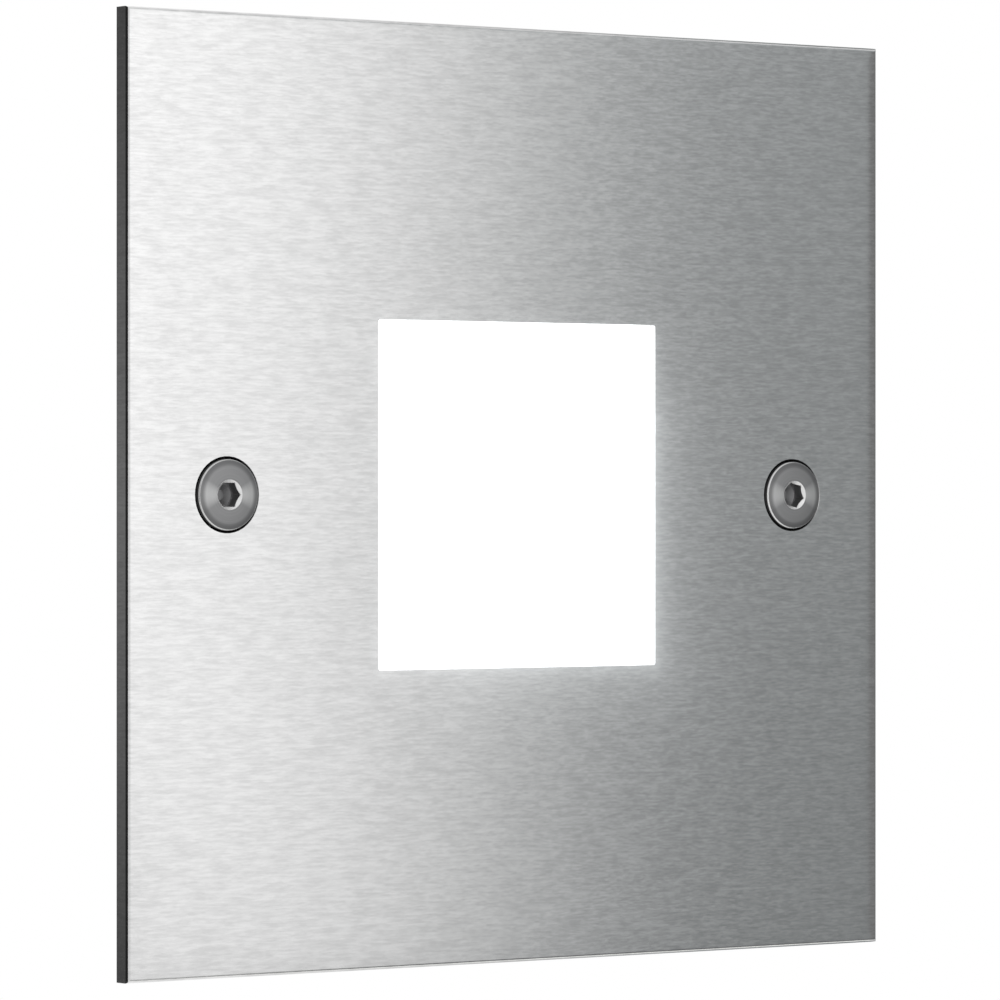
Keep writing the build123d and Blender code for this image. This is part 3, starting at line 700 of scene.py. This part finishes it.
def pale_floor():
    """A wide pale floor below, brought up to white where it is seen; it keeps its shadows."""
    material, tree = new_material("pale_floor")
    matt = add(tree, "BsdfDiffuse", {"Color": linear("#eeeeec")})
    lift = spread(tree, seen_rays(tree), 0.0, FLOOR_WHITE, 0.0, 1.0)
    white = add(tree, "Emission", {"Color": (1, 1, 1, 1), "Strength": lift})
    surface(tree, add(tree, "AddShader", {0: matt.outputs[0], 1: white.outputs[0]}))
    reach = FLOOR_SIZE_MM / 2
    z = -FLOOR_DROP_MM
    corners = [(-reach, -reach, z), (reach, -reach, z), (reach, reach, z), (-reach, reach, z)]
    flat_panel("floor", corners, material)


def mirror_card(name, corners_mm, material):
    """A card that only mirrored rays see."""
    card = flat_panel(name, corners_mm, material)
    card.visible_camera = False
    card.visible_diffuse = False
    card.visible_transmission = False
    card.visible_shadow = False


def graduated(name, fade_mm, levels, slant=0.0, rise=0.0, shoulder=False):
    """A card finish that fades across, from a neutral bright level to a cooler dark one.

    With a shoulder, the level falls again at the far left.
    """
    material, tree = new_material(name)
    place = place_on(tree)
    lean = maths(tree, "MULTIPLY_ADD", place[2], -slant, place[0])
    fade = {0: lean, 1: fade_mm[0] * MM, 2: fade_mm[1] * MM}
    fade = add(tree, "MapRange", fade, interpolation_type="SMOOTHSTEP").outputs[0]
    level = spread(tree, fade, levels[0], levels[1], 0.0, 1.0)
    level = maths(tree, "MULTIPLY_ADD", place[2], rise, level)
    if shoulder:
        across = maths(tree, "MULTIPLY_ADD", place[2], SHOULDER_SLANT, place[0])
        share = spread(tree, across, SHOULDER_SHARE, 1.0, *(x * MM for x in SHOULDER_MM))
        level = maths(tree, "MULTIPLY", level, share)
    cool = spread(tree, fade, 0.0, 1.0, 0.5, 1.0)
    return glowing(material, tinted(tree, cool, "#ffffff", "#f9feff"), level)


def even(name, colour):
    """A card finish of one tone."""
    return glowing(new_material(name)[0], linear(colour), 1.0)


def side_finish():
    """A dark grey card finish, lightest at half height."""
    material, tree = new_material("grey_card")
    away = maths(tree, "ABSOLUTE", place_on(tree)[2])
    half = box_mm("front_plate")[1][2] * MM
    level = spread(tree, away, *SIDE_CARD_LEVELS, 0.0, half)
    return glowing(material, linear("#ffffff"), level)


def front_card():
    """A graduated card that the plate mirrors: bright to the left, dark to the right."""
    shape = (FRONT_CARD_FADE_MM, FRONT_CARD_LEVELS, FRONT_CARD_SLANT, FRONT_CARD_RISE, True)
    (x0, x1), y, z = FRONT_CARD_X_MM, FRONT_CARD_Y_MM, FRONT_CARD_Z_MM
    corners = [(x0, y, -z), (x1, y, -z), (x1, y, z), (x0, y, z)]
    mirror_card("front_card", corners, graduated("graduated_front_card", *shape))


def rim_cards():
    """Small cards close to the plate's rim: dark and grey at the left, mid grey at the right.

    Those above and below it fade from left to right.
    """
    low, high = box_mm("front_plate")
    out = high[0] + RIM_CARD_GAP_MM
    right = high[0] + RIGHT_CARD_GAP_MM
    front, back = low[1] - RIM_CARD_AHEAD_MM, high[1] + RIM_CARD_BEHIND_MM
    right_front = low[1] - RIGHT_CARD_AHEAD_MM
    split = RIM_CARD_SPLIT_Y_MM
    sides = {
        "left_card": (-out, front, split, LEFT_CARD_Z_MM, even("dark_card", "#2a2a2a")),
        "side_card": (-out, split, back, out, side_finish()),
        "right_card": (right, right_front, high[1], out, even("mid_card", "#8a8a8a")),
    }
    for name, (x, y0, y1, z, finish) in sides.items():
        mirror_card(name, [(x, y0, -z), (x, y1, -z), (x, y1, z), (x, y0, z)], finish)
    flat = graduated("graduated_rim_card", (-out, out), RIM_CARD_LEVELS)
    for name, z in (("top_card", out), ("bottom_card", -out)):
        corners = [(-out, low[1], z), (out, low[1], z), (out, back, z), (-out, back, z)]
        mirror_card(name, corners, flat)


def softbox():
    """A soft light in front of the plate and above it."""
    lamp = bpy.data.lights.new("softbox", "AREA")
    lamp.shape = "RECTANGLE"
    lamp.size, lamp.size_y = (side * MM for side in SOFTBOX_SIZE_MM)
    lamp.energy = SOFTBOX_POWER
    light = bpy.data.objects.new("softbox", lamp)
    light.location = [c * MM for c in SOFTBOX_AT_MM]
    aim = Vector(SOFTBOX_AT_MM).to_track_quat("Z", "Y")
    light.rotation_euler = aim.to_euler()
    light.visible_camera = False
    light.visible_glossy = False
    bpy.context.scene.collection.objects.link(light)


def camera():
    """The photograph's camera: level, from the left, with a long lens."""
    lens = bpy.data.cameras.new("camera")
    lens.sensor_width = SENSOR_MM
    lens.lens = SENSOR_MM * FOCAL_PIXELS / IMAGE_PIXELS
    lens.clip_start = CAMERA_NEAREST_MM * MM
    eye = bpy.data.objects.new("camera", lens)
    eye.location = [c * MM for c in CAMERA_AT_MM]
    eye.rotation_euler = (math.pi / 2, 0, math.radians(CAMERA_TURN_DEG))
    bpy.context.scene.collection.objects.link(eye)
    bpy.context.scene.camera = eye


white_room()
pale_floor()
softbox()
front_card()
rim_cards()
camera()
bpy.context.scene.view_settings.view_transform = "Standard"
